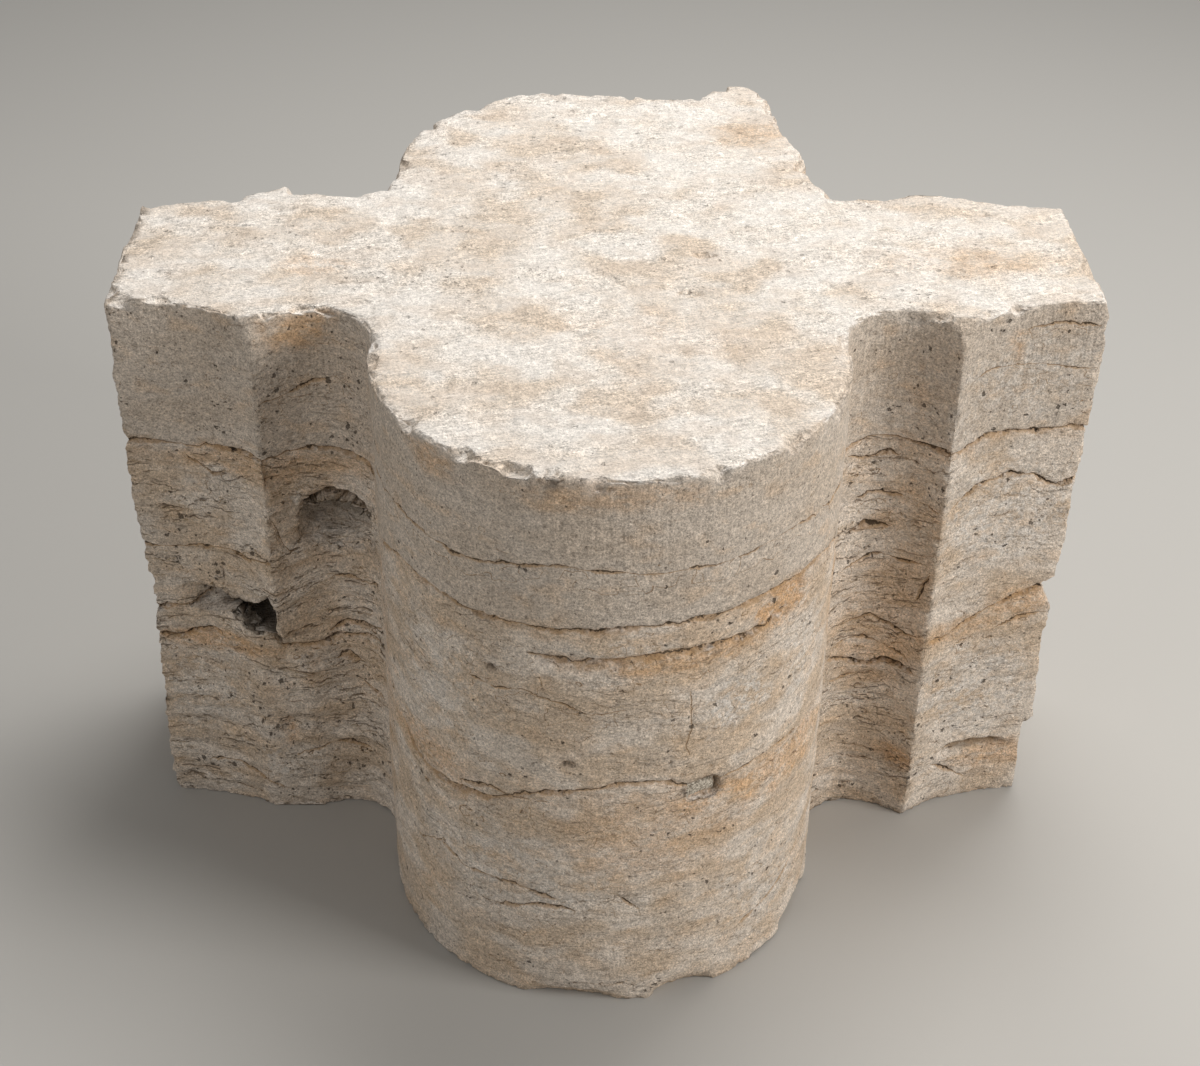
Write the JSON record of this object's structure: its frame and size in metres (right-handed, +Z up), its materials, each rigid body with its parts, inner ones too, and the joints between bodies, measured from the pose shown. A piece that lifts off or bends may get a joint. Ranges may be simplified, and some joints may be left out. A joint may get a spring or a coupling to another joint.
{
  "type": "column drum",
  "caption": "Pier drum of pale bedded stone on a cross-shaped plan: attached half-columns back to back on a short wall, with hollows and arrises along each arm.",
  "frame": {"origin": "on the underside, on the line where the two half-columns' shared middle plane crosses the middle of the wall", "axes": "+Z up; the finished half-column faces -Y; the two arms of the wall lie along X"},
  "size_m": [0.654, 0.577, 0.42],
  "materials": {
    "travertine": "tooled and weathered, matt, with open pores and warm stains along the beds"
  },
  "bodies": {
    "root": {"column_drum": "travertine"}
  },
  "joints": []
}
